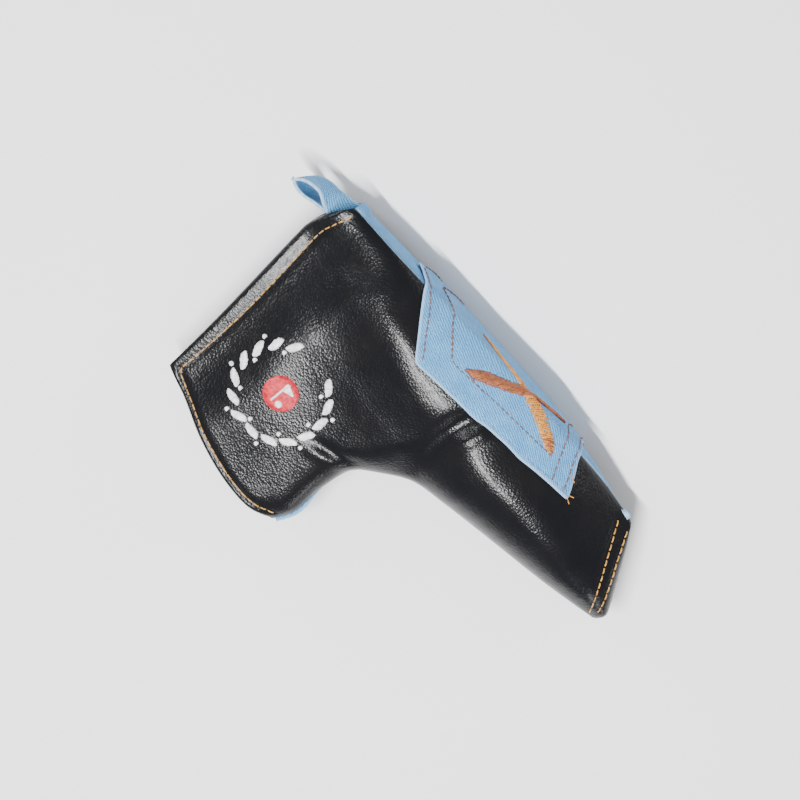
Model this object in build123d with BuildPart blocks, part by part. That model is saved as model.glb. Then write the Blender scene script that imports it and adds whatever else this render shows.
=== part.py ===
from build123d import *
import math
import os

# Putter head cover for a blade putter, lying on its far side.
# +X runs from the toe towards the heel, +Y from the sole towards the neck rim, and
# +Z is the outward normal of the near side. Sizes are in millimetres and degrees.
# Outline points are given as (back, up): the distance from the heel corner towards
# the toe, and the height above the sole line.

# Overall
HEEL_X = 80.6              # heel corner, so that the origin is central under the cover
SOLE_Y = -51.4             # sole line
SEAM_Z = 16.0              # plane of the seam between the two side panels
HEAD_NEAR = 24.0           # head bulge above the seam plane, near side
NECK_NEAR = 12.0           # neck above the seam plane, near side
LIP = 8.0                  # closure lips on either side of the seam plane
GUSSET_WIDTH = 22.0        # sole strip, seam to seam

# Layers, from the outside in
LEATHER = 1.2
FOAM = 3.0
LINING = 2.0
DENIM = 1.2
THREAD = 0.5
FOAM_INNER = LEATHER + FOAM
CAVITY = FOAM_INNER + LINING

# Gap between the closure flap and everything that it doesn't move with
RUN_GAP = 0.4

# Outline corners as (back, up)
HEEL = (0.0, -1.0)
HEEL_BULGE = (-7.5, 15.0)
RIM_HEEL = (0.0, 98.0)
RIM_MID = (40.0, 109.5)
RIM_TOP = (62.0, 110.4)
RIM_TOE = (73.0, 107.0)
NECK_TOE = (76.0, 101.0)
INNER_CORNER = (79.0, 67.0)
WEB_END = (97.0, 53.0)
TOE_TIP_TOP = (184.0, 34.0)
TOE_TIP = (186.0, 28.0)
SOLE_TOE = (163.0, -3.0)
SOLE_MID = (110.0, -6.0)

# Fold of the closure flap, from the heel corner to the rim's toe-side corner
FOLD_SOLE = (1.5, 1.0)
FOLD_RIM = (73.0, 106.0)
FLAP_HEEL = (-9.4, 24.1)   # the flap starts above this line, and the corner below it stays
FLAP_CORNER = (8.8, 11.7)

# Closure tapes
TAPE_WIDTH = 14.0
TAPE_THICK = 1.4

# Hanging loop
LOOP_ROOT = (-5.6, 3.0)
LOOP_LENGTH = 16.0         # root to the centre of the round end
LOOP_ROUND = 5.4
LOOP_NECK = 1.7
LOOP_RISE = 14.0           # direction of the loop above +X
LOOP_PINCH = 0.45          # share of the length over which the ribbon's two sides touch
RIBBON_WIDTH = 12.0
RIBBON = 1.5
EYE_ROOT = 0.4

# Neck emblem
CREST_CENTRE = (36.0, 69.5)
CREST_RADIUS = 19.0
ROUNDEL_RADIUS = 7.2
LEAF_LENGTH = 7.0
LEAF_WIDTH = 3.2
LEAF_COUNT = 14

SPAN = 600.0

# The far side is pressed flat: the patch lies on z = 0, the panel above it, and the neck
# comes down to z = 0 again at its rim
FAR_DEPTH = SEAM_Z - DENIM
FLAT_END = 24.0


def at(point):
    """Row X and Y of an outline point (back, up)."""
    back, up = point
    return (HEEL_X - back, SOLE_Y + up)


def edge_plane(start, end, inset, height=0.0, slope=90.0, side=1):
    """Plane over the outline edge start-end, its normal outwards.

    It stands `height` from the seam plane over the edge, on the near side (1) or the far
    side (-1), and leans inwards at `slope` degrees from flat; `inset` moves it in.
    """
    x0, y0 = at(start)
    x1, y1 = at(end)
    length = math.hypot(x1 - x0, y1 - y0)
    lean = math.radians(slope)
    normal = Vector(
        -(y1 - y0) / length * math.sin(lean),
        (x1 - x0) / length * math.sin(lean),
        side * math.cos(lean),
    )
    origin = Vector(x0, y0, SEAM_Z + side * height) - normal * inset
    return Plane(origin=origin, z_dir=normal)


def flat_plane(height, inset, side):
    """Horizontal plane at `height` from the seam plane, its normal outwards."""
    origin = (0, 0, SEAM_Z + side * (height - inset))
    return Plane(origin=origin, z_dir=(0, 0, side))


def far_neck_plane(inset):
    """Far face of the neck, sinking from the head to the rim so that its stitches touch down."""
    fall = Vector(0, THREAD - DENIM, FLAT_END - RIM_TOP[1]).normalized()
    origin = Vector(0, SOLE_Y + FLAT_END, SEAM_Z - FAR_DEPTH) - fall * inset
    return Plane(origin=origin, z_dir=fall)


def block(planes):
    """Convex block: the space behind every plane."""
    with BuildPart() as solid:
        Box(SPAN, SPAN, SPAN)
        for plane in planes:
            split(bisect_by=plane, keep=Keep.BOTTOM)
    return solid.part


def both_sides(start, end, inset, facets):
    """The vertical plane of an outline edge and its leaning facets on both sides."""
    planes = [edge_plane(start, end, inset)]
    for height, slope in facets:
        planes.append(edge_plane(start, end, inset, height, slope, 1))
        planes.append(edge_plane(start, end, inset, height, slope, -1))
    return planes


# Facets as (height over the edge, slope)
SEAM_FACETS = [(1.5, 62.0), (8.0, 35.0)]
TOE_FACETS = [(1.5, 60.0), (7.0, 32.0)]
SOLE_FACETS = [(GUSSET_WIDTH / 2, 55.0), (GUSSET_WIDTH / 2 + 5.0, 30.0)]
NECK_FACETS = [(1.5, 58.0)]
HEEL_FACETS = [(6.0, 35.0)]
LIP_FACETS = [(5.0, 45.0)]
SLOPE_TO_LIP = [(-1.2, 22.6)]
FOLD_FACETS = [(NECK_NEAR - 0.1, 20.0)]
NECK_TO_HEAD = [(NECK_NEAR - 0.1, 24.0)]
HIDDEN_FACETS = [(2.0, 35.0)]
RIM_EDGES = [(RIM_TOE, RIM_TOP), (RIM_TOP, RIM_MID), (RIM_MID, RIM_HEEL)]
RIM_SPARE = 4.0            # how far the uncut block runs on past the rim
HEAD_TOP_END = (52.0, 61.0)
LIP_INSIDE_LOW = (14.0, -1.6)
LIP_INSIDE_MID = (36.0, 30.0)
LIP_INSIDE_HIGH = (36.0, 112.0)
NECK_SOLE_END = (79.0, -4.6)
WEB_LOW = (60.0, 30.0)
WEB_LOW_TOE = (97.0, 30.0)
WEB_HIGH = (60.0, 67.0)


def envelope(inset):
    """The whole padded boot drawn in by inset, running on past the open neck rim."""
    near_far = [flat_plane(HEAD_NEAR, inset, 1), flat_plane(FAR_DEPTH, inset, -1)]
    head = block(
        near_far
        + both_sides(HEEL, SOLE_MID, inset, SOLE_FACETS)
        + both_sides(SOLE_MID, SOLE_TOE, inset, SOLE_FACETS)
        + both_sides(SOLE_TOE, TOE_TIP, inset, TOE_FACETS)
        + both_sides(TOE_TIP, TOE_TIP_TOP, inset, TOE_FACETS)
        + both_sides(TOE_TIP_TOP, WEB_END, inset, SEAM_FACETS)
        + both_sides(WEB_END, HEAD_TOP_END, inset, NECK_TO_HEAD)
        + both_sides(FOLD_RIM, FOLD_SOLE, inset, FOLD_FACETS)
    )
    near_far = [flat_plane(NECK_NEAR, inset, 1), far_neck_plane(inset)]
    rim = [edge_plane(a, b, -RIM_SPARE) for a, b in RIM_EDGES]
    neck = block(
        near_far
        + rim
        + both_sides(HEEL, NECK_SOLE_END, inset, [SOLE_FACETS[0]])
        + both_sides(NECK_SOLE_END, INNER_CORNER, inset, HIDDEN_FACETS)
        + both_sides(INNER_CORNER, NECK_TOE, inset, NECK_FACETS)
        + both_sides(NECK_TOE, RIM_TOE, inset, NECK_FACETS)
        + both_sides(RIM_HEEL, HEEL_BULGE, inset, SLOPE_TO_LIP)
        + both_sides(HEEL_BULGE, HEEL, inset, HEEL_FACETS)
    )
    near_far = [flat_plane(NECK_NEAR, inset, 1), flat_plane(FAR_DEPTH, inset, -1)]
    web = block(
        near_far
        + both_sides(WEB_LOW, WEB_LOW_TOE, inset, [])
        + both_sides(WEB_LOW_TOE, WEB_END, inset, HIDDEN_FACETS)
        + both_sides(WEB_END, INNER_CORNER, inset, NECK_FACETS)
        + both_sides(INNER_CORNER, WEB_HIGH, inset, [])
        + both_sides(WEB_HIGH, WEB_LOW, inset, [])
    )
    near_far = [flat_plane(LIP, inset, 1), flat_plane(LIP, inset, -1)]
    lip = block(
        near_far
        + rim
        + both_sides(HEEL, LIP_INSIDE_LOW, inset, [])
        + both_sides(LIP_INSIDE_LOW, LIP_INSIDE_MID, inset, [])
        + both_sides(LIP_INSIDE_MID, LIP_INSIDE_HIGH, inset, [])
        + both_sides(RIM_HEEL, HEEL_BULGE, inset, LIP_FACETS)
        + both_sides(HEEL_BULGE, HEEL, inset, LIP_FACETS)
    )
    with BuildPart() as boot:
        add(head)
        add(neck)
        add(web)
        add(lip)
    return boot.part


DEPTHS = [-DENIM - THREAD, -DENIM, -THREAD, 0.0, LEATHER, FOAM_INNER, CAVITY]
BOOTS = {depth: envelope(depth) for depth in DEPTHS}


def trim_rim():
    """Cut the open part at the neck rim."""
    for start, end in RIM_EDGES:
        split(bisect_by=edge_plane(start, end, 0.0), keep=Keep.BOTTOM)


def layer(outer, inner):
    """One layer of the wall, between two depths."""
    with BuildPart() as wall:
        add(BOOTS[outer])
        add(BOOTS[inner], mode=Mode.SUBTRACT)
        trim_rim()
    return wall.part


def seam_cut(gap=0.0, side=1):
    """Keep what is on one side of the seam plane, at least a gap from it."""
    split(bisect_by=flat_plane(gap, 0.0, side), keep=Keep.TOP)


def flap_zone(inset):
    """Everything between the fold and the heel edge, above the corner that stays."""
    fold = edge_plane(FOLD_SOLE, FOLD_RIM, inset)
    corner = edge_plane(FLAP_HEEL, FLAP_CORNER, inset)
    return block([fold, corner])


FLAP_ZONE = flap_zone(RUN_GAP / 2)
CLEAR_OF_FLAP = flap_zone(-RUN_GAP / 2)


# Sole strip as seen on the sole: full width, narrow at the heel, a point at the toe
GUSSET_START = 0.5
GUSSET_END = 160.0
GUSSET_TAPER = 118.0
GUSSET_DEPTH = 8.0
GUSSET_FULL = 20.0         # back from the heel corner, where it reaches its full width
GUSSET_HEEL = 0.7          # share of the full width at the heel
GUSSET_TIP = 1.0           # half its width where it ends
with BuildPart() as gusset_zone:
    with BuildSketch(Plane.XZ.offset(-(SOLE_Y + GUSSET_DEPTH))):
        with BuildLine():
            half = GUSSET_WIDTH / 2
            Polyline(
                (HEEL_X - GUSSET_START, SEAM_Z + half * GUSSET_HEEL),
                (HEEL_X - GUSSET_FULL, SEAM_Z + half),
                (HEEL_X - GUSSET_TAPER, SEAM_Z + half),
                (HEEL_X - GUSSET_END, SEAM_Z + GUSSET_TIP),
                (HEEL_X - GUSSET_END, SEAM_Z - GUSSET_TIP),
                (HEEL_X - GUSSET_TAPER, SEAM_Z - half),
                (HEEL_X - GUSSET_FULL, SEAM_Z - half),
                (HEEL_X - GUSSET_START, SEAM_Z - half * GUSSET_HEEL),
                close=True,
            )
        make_face()
    extrude(amount=3 * GUSSET_DEPTH)

leather_wall = layer(0.0, LEATHER)
foam_wall = layer(LEATHER, FOAM_INNER)
lining_wall = layer(FOAM_INNER, CAVITY)


def keep(part, label):
    """Label a finished piece and write it."""
    part.label = label
    export_step(part, f"parts/{label}.step")


def near_piece(wall, flap):
    """Near side of a layer, either the closure flap or the rest."""
    with BuildPart() as piece:
        add(wall)
        seam_cut(RUN_GAP if flap else 0.0)
        if flap:
            add(FLAP_ZONE, mode=Mode.INTERSECT)
        else:
            add(gusset_zone.part, mode=Mode.SUBTRACT)
            add(CLEAR_OF_FLAP, mode=Mode.SUBTRACT)
    return piece.part


def far_piece(wall):
    """Far side of a layer."""
    with BuildPart() as piece:
        add(wall)
        seam_cut(side=-1)
        add(gusset_zone.part, mode=Mode.SUBTRACT)
    return piece.part


def sole_piece(wall):
    """Sole strip of a layer."""
    with BuildPart() as piece:
        add(wall)
        add(gusset_zone.part, mode=Mode.INTERSECT)
    return piece.part


os.makedirs("parts", exist_ok=True)
WALLS = {"": leather_wall, "_foam": foam_wall, "_lining": lining_wall}
for suffix, wall in WALLS.items():
    keep(near_piece(wall, False), "near" + (suffix or "_panel"))
    keep(near_piece(wall, True), "near_flap" + (suffix or "_panel"))
    keep(far_piece(wall), "far" + (suffix or "_panel"))
    keep(sole_piece(wall), "sole" + (suffix or "_gusset"))

# Pocket patch, wrapped over the sole: a V towards the heel, sides rising on both panels
PATCH_POINT = 35.0         # the V's point on the middle of the sole
PATCH_SIDE_HEEL = (59.5, 17.5)
PATCH_SIDE_TOE = (138.5, 8.0)
PATCH_SOLE_TOE = (129.0, -6.0)
PATCH_RISE = 0.65          # the heel edge's lean with height and with distance from the seam plane
PATCH_SPREAD = 0.57


def patch_bounds():
    """Trim a skin to the patch's outline."""
    for side in (1, -1):
        normal = Vector(1.0, PATCH_RISE, side * PATCH_SPREAD)
        origin = (HEEL_X - PATCH_POINT, SOLE_Y, SEAM_Z)
        split(bisect_by=Plane(origin=origin, z_dir=normal), keep=Keep.BOTTOM)
    split(bisect_by=edge_plane(PATCH_SIDE_TOE, PATCH_SIDE_HEEL, 0.0), keep=Keep.BOTTOM)
    split(bisect_by=edge_plane(PATCH_SOLE_TOE, PATCH_SIDE_TOE, 0.0), keep=Keep.BOTTOM)


with BuildPart() as pocket_patch:
    add(BOOTS[-DENIM])
    add(BOOTS[0.0], mode=Mode.SUBTRACT)
    patch_bounds()
keep(pocket_patch.part, "pocket_patch")


def strip_zone(points, width, low=-SPAN / 4, high=SPAN / 4):
    """Upright wall of a given width along a line of outline points."""
    with BuildPart() as zone:
        with BuildSketch(Plane.XY.offset(low)):
            with BuildLine() as path:
                Polyline(*[at(point) for point in points])
            trace(path.line, line_width=width)
        extrude(amount=high - low)
    return zone.part


def skin_strip(outer, inner, zone, side=1, gap=0.0):
    """Thread that stands on a surface, along a zone."""
    with BuildPart() as thread:
        add(BOOTS[outer])
        add(BOOTS[inner], mode=Mode.SUBTRACT)
        seam_cut(gap, side)
        add(zone, mode=Mode.INTERSECT)
        trim_rim()
    return thread.part


# Topstitching
STITCH = 0.9
EDGE_MARGIN = 6.0
RIM_MARGIN = 3.0
OPENING_FOOT = 17.0        # the opening's stitching starts on the flap
STITCH_BACK = 2.0          # of the opening's stitching, from the heel corner
opening_line = [
    (STITCH_BACK, OPENING_FOOT),
    (STITCH_BACK, 40.0),
    (RIM_HEEL[0] + EDGE_MARGIN, RIM_HEEL[1] - RIM_MARGIN + 1.0),
    (RIM_MID[0], RIM_MID[1] - RIM_MARGIN),
    (RIM_TOP[0], RIM_TOP[1] - RIM_MARGIN),
]
opening_zone = strip_zone(opening_line, STITCH)
keep(skin_strip(-THREAD, 0.0, opening_zone, 1, RUN_GAP), "opening_topstitch_near")

keep(skin_strip(-THREAD, 0.0, opening_zone, -1), "opening_topstitch_far")

TOE_OUTER_LINE = [(164.5, 3.0), (174.5, 20.0), (181.0, 30.0)]
TOE_INNER_LINE = [(158.0, 3.0), (170.0, 21.0), (178.0, 32.0)]
with BuildPart() as toe_zone:
    for line in [TOE_OUTER_LINE, TOE_INNER_LINE]:
        add(strip_zone(line, STITCH))
keep(skin_strip(-THREAD, 0.0, toe_zone.part, 1), "toe_topstitch_near")
keep(skin_strip(-THREAD, 0.0, toe_zone.part, -1), "toe_topstitch_far")

# Patch topstitching: the line inside the outer edge, near and far, and the hem's double line
PATCH_EDGE_LINE = [(57.5, 9.0), (61.5, 15.2), (136.0, 6.2)]
HEM_OUTER_LINE = [(127.5, -4.0), (135.0, 6.3)]
HEM_INNER_LINE = [(123.5, -4.0), (131.0, 6.8)]
with BuildPart() as patch_zone:
    for line in [PATCH_EDGE_LINE, HEM_OUTER_LINE, HEM_INNER_LINE]:
        add(strip_zone(line, STITCH))
keep(skin_strip(-DENIM - THREAD, -DENIM, patch_zone.part, 1), "patch_topstitch")

# Satin-stitched cross on the patch, in two strokes over the sole
STROKE_WIDTH = 3.0
CROSS_CENTRE = 95.0
CROSS_REACH = 20.0
CROSS_TURN = 45.0
CROSS_LIFT = 4.0           # the cross sits nearer the near side
CROSS_DEPTH = 10.0


def stroke_bar(turn):
    """Upright bar through the sole along one stroke."""
    with BuildPart() as bar:
        with BuildSketch(Plane.XZ.offset(-SOLE_Y - CROSS_DEPTH)):
            with Locations((HEEL_X - CROSS_CENTRE, SEAM_Z + CROSS_LIFT)):
                Rectangle(2 * CROSS_REACH, STROKE_WIDTH, rotation=turn)
        extrude(amount=2 * CROSS_DEPTH)
    return bar.part


def stroke_part(turn, crossed=None):
    """One stroke of thread on the patch, parted where the other stroke crosses it."""
    with BuildPart() as stroke:
        add(BOOTS[-DENIM - THREAD])
        add(BOOTS[-DENIM], mode=Mode.SUBTRACT)
        add(stroke_bar(turn), mode=Mode.INTERSECT)
        if crossed:
            add(stroke_bar(crossed), mode=Mode.SUBTRACT)
        patch_bounds()
    return stroke.part


keep(stroke_part(-CROSS_TURN), "cross_stroke_dark")
keep(stroke_part(CROSS_TURN, -CROSS_TURN), "cross_stroke_gold")

# Thin denim strip caught in the neck's toe-side seam
STRIP_WIDTH = 3.0
STRIP_FOOT = 82.0
STRIP_REACH = 6.0          # either side of the neck's toe seam
STRIP_HEAD = RIM_TOP[1] + RIM_SPARE / 2
with BuildPart() as strip_space:
    middle_x, middle_y = at((NECK_TOE[0], (STRIP_FOOT + STRIP_HEAD) / 2))
    with Locations((middle_x, middle_y, SEAM_Z)):
        Box(2 * STRIP_REACH, STRIP_HEAD - STRIP_FOOT, STRIP_WIDTH)
with BuildPart() as neck_seam_strip:
    add(BOOTS[-DENIM])
    add(BOOTS[0.0], mode=Mode.SUBTRACT)
    add(strip_space.part, mode=Mode.INTERSECT)
    trim_rim()
keep(neck_seam_strip.part, "neck_seam_strip")

# Closure tapes inside the lips, hooks on the flap and loops on the far side
TAPE_LOW = 22.0
TAPE_HIGH = 90.0
TAPE_MARGIN = CAVITY + 0.4
tapes = {"hook_tape": RUN_GAP, "loop_tape": CAVITY - LIP}
for label, bottom in tapes.items():
    with BuildPart() as tape:
        with BuildSketch(Plane.XY.offset(SEAM_Z + bottom)):
            with BuildLine():
                lean = (RIM_HEEL[0] - HEEL_BULGE[0]) / (RIM_HEEL[1] - HEEL_BULGE[1])
                low = HEEL_BULGE[0] + lean * (TAPE_LOW - HEEL_BULGE[1]) + TAPE_MARGIN
                high = HEEL_BULGE[0] + lean * (TAPE_HIGH - HEEL_BULGE[1]) + TAPE_MARGIN
                Polyline(
                    at((low, TAPE_LOW)),
                    at((low + TAPE_WIDTH, TAPE_LOW)),
                    at((high + TAPE_WIDTH, TAPE_HIGH)),
                    at((high, TAPE_HIGH)),
                    close=True,
                )
            make_face()
        extrude(amount=TAPE_THICK)
    keep(tape.part, label)

# Hanging loop: a folded ribbon, pinched at its root and round at its end
root = Vector(*at(LOOP_ROOT))
rise = math.radians(LOOP_RISE)
heading = Vector(math.cos(rise), math.sin(rise))
bow = root + heading * LOOP_LENGTH
eye_root = root + heading * LOOP_LENGTH * LOOP_PINCH
with BuildPart() as loop_tab:
    with BuildSketch(Plane.XY.offset(SEAM_Z - RIBBON_WIDTH / 2)):
        with BuildLine():
            CenterArc(root, LOOP_NECK, 0, 360)
            CenterArc(bow, LOOP_ROUND, 0, 360)
        make_hull()
    extrude(amount=RIBBON_WIDTH)
    with BuildSketch(Plane.XY.offset(SEAM_Z - RIBBON_WIDTH / 2)):
        with BuildLine():
            CenterArc(eye_root, EYE_ROOT, 0, 360)
            CenterArc(bow, LOOP_ROUND - RIBBON, 0, 360)
        make_hull()
    extrude(amount=RIBBON_WIDTH, mode=Mode.SUBTRACT)
keep(loop_tab.part, "loop_tab")

# Neck emblem: a plain round badge in a ring of leaves, open towards the sole. A leaf that would
# cross the fold is left out, and the ring is in two groups, one either side of it
CREST_GAP = 40.0
LEAF_LEAN = 25.0           # of a leaf from the ring's own direction
FOLD_CLEAR = LEAF_LENGTH / 2 + 0.8
ROUND_SLACK = 0.01         # keeps the roundel's ellipse from being a circle


def from_fold(x, y):
    """Distance of a point from the fold, positive on the flap."""
    x0, y0 = at(FOLD_SOLE)
    x1, y1 = at(FOLD_RIM)
    return ((x - x0) * (y1 - y0) - (y - y0) * (x1 - x0)) / math.hypot(x1 - x0, y1 - y0)


centre = Vector(*at(CREST_CENTRE))
flap_leaves = []
panel_leaves = []
for index in range(LEAF_COUNT):
    turn = 270.0 + CREST_GAP / 2 + (360.0 - CREST_GAP) * (index + 0.5) / LEAF_COUNT
    leaf = centre + Vector(CREST_RADIUS, 0).rotate(Axis.Z, turn)
    tilt = 90.0 + turn + (LEAF_LEAN if index < LEAF_COUNT / 2 else -LEAF_LEAN)
    distance = from_fold(leaf.X, leaf.Y)
    if distance > FOLD_CLEAR:
        flap_leaves.append((leaf, tilt))
    elif distance < -FOLD_CLEAR:
        panel_leaves.append((leaf, tilt))


def crest_piece(shapes):
    """Embroidery on the near side, from ellipses given as (centre, turn, length, width)."""
    with BuildPart() as zone:
        with BuildSketch(Plane.XY.offset(SEAM_Z)):
            for place, tilt, length, width in shapes:
                with Locations((place.X, place.Y)):
                    Ellipse(length / 2, width / 2, rotation=tilt)
        extrude(amount=2 * HEAD_NEAR)
    return skin_strip(-THREAD, 0.0, zone.part)


badge = [(centre, 0.0, 2 * ROUNDEL_RADIUS, 2 * ROUNDEL_RADIUS - ROUND_SLACK)]
keep(crest_piece(badge), "crest_roundel")
keep(crest_piece([(*leaf, LEAF_LENGTH, LEAF_WIDTH) for leaf in flap_leaves]), "crest_leaves_flap")
keep(crest_piece([(*leaf, LEAF_LENGTH, LEAF_WIDTH) for leaf in panel_leaves]), "crest_leaves_panel")
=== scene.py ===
import math

import bpy
import numpy as np
from mathutils import Matrix, Vector, noise
from mathutils.geometry import delaunay_2d_cdt

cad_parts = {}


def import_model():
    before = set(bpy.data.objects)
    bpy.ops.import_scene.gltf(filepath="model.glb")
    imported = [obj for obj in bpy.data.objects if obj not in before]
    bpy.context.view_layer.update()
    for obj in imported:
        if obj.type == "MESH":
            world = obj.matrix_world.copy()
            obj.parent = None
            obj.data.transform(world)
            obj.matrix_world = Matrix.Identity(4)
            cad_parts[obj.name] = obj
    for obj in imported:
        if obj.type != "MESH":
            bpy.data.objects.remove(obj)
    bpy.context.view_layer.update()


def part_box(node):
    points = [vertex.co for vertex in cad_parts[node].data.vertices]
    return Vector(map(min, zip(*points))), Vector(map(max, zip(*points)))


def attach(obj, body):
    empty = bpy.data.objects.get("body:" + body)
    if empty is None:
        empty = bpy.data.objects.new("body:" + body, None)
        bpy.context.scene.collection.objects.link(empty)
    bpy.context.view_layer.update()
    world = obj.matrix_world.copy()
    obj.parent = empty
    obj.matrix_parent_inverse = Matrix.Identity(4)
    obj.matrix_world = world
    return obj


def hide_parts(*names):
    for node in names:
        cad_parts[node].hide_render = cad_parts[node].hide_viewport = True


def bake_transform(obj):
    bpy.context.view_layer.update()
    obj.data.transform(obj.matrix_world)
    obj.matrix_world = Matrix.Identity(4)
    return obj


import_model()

# Lengths below are in millimetres, and M turns them into metres. Outline points are given
# as (back, up): the distance from the heel corner towards the toe, and the height above
# the sole line. The frame gives the heel corner, the sole line and the seam plane.
M = 0.001
HEEL_BULGE = 7.5
RIM_HEIGHT = 110.4
FAR_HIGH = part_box("far_panel")[1]
HEEL_X = FAR_HIGH[0] / M - HEEL_BULGE
SOLE_Y = FAR_HIGH[1] / M - RIM_HEIGHT
SEAM_Z = FAR_HIGH[2] / M

LEATHER = 1.2
FOAM = 2.6
LINING = 1.4
DENIM = 1.1
HEAD_RISE = 23.6           # head bulge above the seam plane
NECK_RISE = 12.0
GUSSET_HALF = 11.0
FAR_FLAT = 14.75           # the far side is pressed flat this far below the seam plane
ROLL = 2.2                 # radius of the turned edge at the rim and the heel opening
SEAM_GAP = 0.25            # of each side panel's edge from the seam plane
SHOULDER = 13.0            # height above the sole where the head starts to fall to the neck
FALL = {1: (32.0, 1.3), -1: (17.0, 1.7)}    # distance and steepness of the fall to the neck, on each side
MOUTH_DROP = 3.5           # of the near side towards the neck rim
LIP = 0.42                 # share of the neck's rise left at the heel opening
FACING = 8.0               # depth of the leather turned in at the rim and the heel opening
LAYER_GAP = 0.2
FOAM_INSET = (4.2, 7.5, 12.6)      # of the foam's edge at the seams, the rim and the heel edge
LINING_INSET = (6.4, 7.4, 13.0)
RNG = np.random.default_rng(7)


def smooth(low, high, x):
    """0 below low, 1 above high, and an S curve between."""
    t = np.clip((np.asarray(x, float) - low) / (high - low), 0, 1)
    return t * t * (3 - 2 * t)


def dome(distance, width, power=2.2):
    """Profile of a stuffed edge: steep at the seam, level at the given width."""
    t = np.clip(np.asarray(distance, float) / width, 0, 1)
    return (1 - (1 - t) ** power) ** (1 / power)


def bump(x, centre, width):
    """Bell curve."""
    return np.exp(-(((np.asarray(x, float) - centre) / width) ** 2))


def spline(points, step=1.2):
    """Smooth line through the points, sampled about every step."""
    p = [np.array(q, float) for q in points]
    p = [2 * p[0] - p[1]] + p + [2 * p[-1] - p[-2]]
    out = []
    for a, b, c, d in zip(p, p[1:], p[2:], p[3:]):
        count = max(1, int(np.linalg.norm(c - b) / step))
        for k in range(count):
            t = k / count
            out.append(
                0.5 * (2 * b + (c - a) * t + (2 * a - 5 * b + 4 * c - d) * t * t
                       + (3 * b - a - 3 * c + d) * t ** 3)
            )
    out.append(p[-2])
    return np.array(out)


SOLE = spline([(0, -1), (40, -3.2), (78, -5), (112, -6), (142, -5.2), (163, -2.6)])
TOE = spline([(163, -2.6), (169, 4.5), (177, 15.5), (184.3, 26), (186, 30), (184, 34)])
TOP = spline([(184, 34), (160, 39.5), (129, 45.5), (110, 49.5), (99, 52.3), (93, 55.4), (86, 61),
              (79.5, 66.6)])
NECK = spline([(79.5, 66.6), (76.7, 72), (75.4, 85), (76, 98), (73, 106.6)])
RIM = spline([(73, 106.6), (62, 110.3), (51, 110.7), (40, 109.3), (28, 106.4), (15, 102.4), (3, 98.9),
              (-0.8, 97.6)])
HEEL = spline([(-0.8, 97.6), (-1.2, 90), (-2.6, 71), (-4.6, 50), (-7, 26), (-7.4, 17), (-4.4, 6.5), (0, -1)])
CLOSED = np.vstack([TOP, NECK[1:]])
OUTLINE = np.vstack([SOLE[:-1], TOE[:-1], TOP[:-1], NECK[:-1], RIM[:-1], HEEL[:-1]])
FOLD_SOLE = np.array((1.5, 1.0))
FOLD_RIM = np.array((73.0, 106.0))


def line_distance(points, line):
    """Distance from each point to a polyline."""
    p = np.asarray(points, float)[:, None, :]
    a, b = line[None, :-1], line[None, 1:]
    along = np.clip(((p - a) * (b - a)).sum(2) / np.maximum(((b - a) ** 2).sum(2), 1e-12), 0, 1)
    return np.sqrt((((a + (b - a) * along[..., None]) - p) ** 2).sum(2)).min(1)


def fold_distance(back, up):
    """Distance from the closure flap's fold, positive on the side that stays."""
    d = (FOLD_RIM - FOLD_SOLE) / np.linalg.norm(FOLD_RIM - FOLD_SOLE)
    return (back - FOLD_SOLE[0]) * d[1] - (up - FOLD_SOLE[1]) * d[0]


def gusset_half(back):
    """Half the sole strip's width: full in the middle, narrower at the heel, none at the toe."""
    heel = 0.72 + 0.28 * smooth(0, 26, back)
    toe = 1 - smooth(104, 164, back) ** 0.9
    return GUSSET_HALF * heel * toe


def soft_noise(points, scale, seed):
    """Smooth noise from -1 to 1 at each point."""
    return np.array([noise.noise(Vector((p[0] / scale, p[1] / scale, seed))) for p in points])


def height(points, side):
    """Outer face of a side panel, as a height from the seam plane.

    side is 1 for the near panel, which bulges, and -1 for the far one, which is pressed flat.
    """
    p = np.asarray(points, float).reshape(-1, 2)
    back, up = p[:, 0], p[:, 1]
    sole, closed, toe = (line_distance(p, line) for line in (SOLE, CLOSED, TOE))
    heel, rim = line_distance(p, HEEL), line_distance(p, RIM)
    from_fold = fold_distance(back, up)
    reach, power = FALL[side]
    fall = 1 - np.exp(-((np.maximum(up - SHOULDER, 0) / reach) ** power))
    head = smooth(-8, 40, from_fold) * (1 - 0.3 * smooth(118, 186, back))
    head = head * (1 - fall * smooth(112, 86, back))
    crown = NECK_RISE + (HEAD_RISE - NECK_RISE) * head
    if side > 0:
        crown = crown - MOUTH_DROP * np.clip((up - 45) / 62, 0, 1)
    half = gusset_half(back)
    low = half + (crown - half) * dome(sole, 26 + 6 * smooth(30, 90, back), 1.35)
    z = low * dome(closed, 13 + 19 * smooth(70, 96, back) * smooth(80, 50, up), 2.1)
    z = z * dome(toe, 38, 2.3)
    lip = LIP + (1 - LIP) * smooth(4, 34, heel)
    corner = smooth(24, 1, sole)
    square = smooth(9, 0, sole)
    z = z * (lip * (1 - corner) + corner)
    z = np.maximum(z, SEAM_GAP)
    if side < 0:
        flat = np.where(up < 60, FAR_FLAT, FAR_FLAT + 1.0 * smooth(60, 100, up))
        z = flat - np.log1p(np.exp((flat - z * 1.12) / 1.2)) * 1.2
        z = np.maximum(z, SEAM_GAP)
    else:
        z = z + near_detail(p, sole, closed, toe, heel, rim)
    edge = np.minimum(np.minimum(rim, heel + ROLL * square), ROLL)
    return z - (ROLL - rolled(edge)) * smooth(3, 5, z)


def rolled(edge):
    """Rise of a turned edge over the turn's middle, at a distance from the edge."""
    return np.sqrt(np.maximum(ROLL ** 2 - (ROLL - edge) ** 2, 0))


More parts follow.
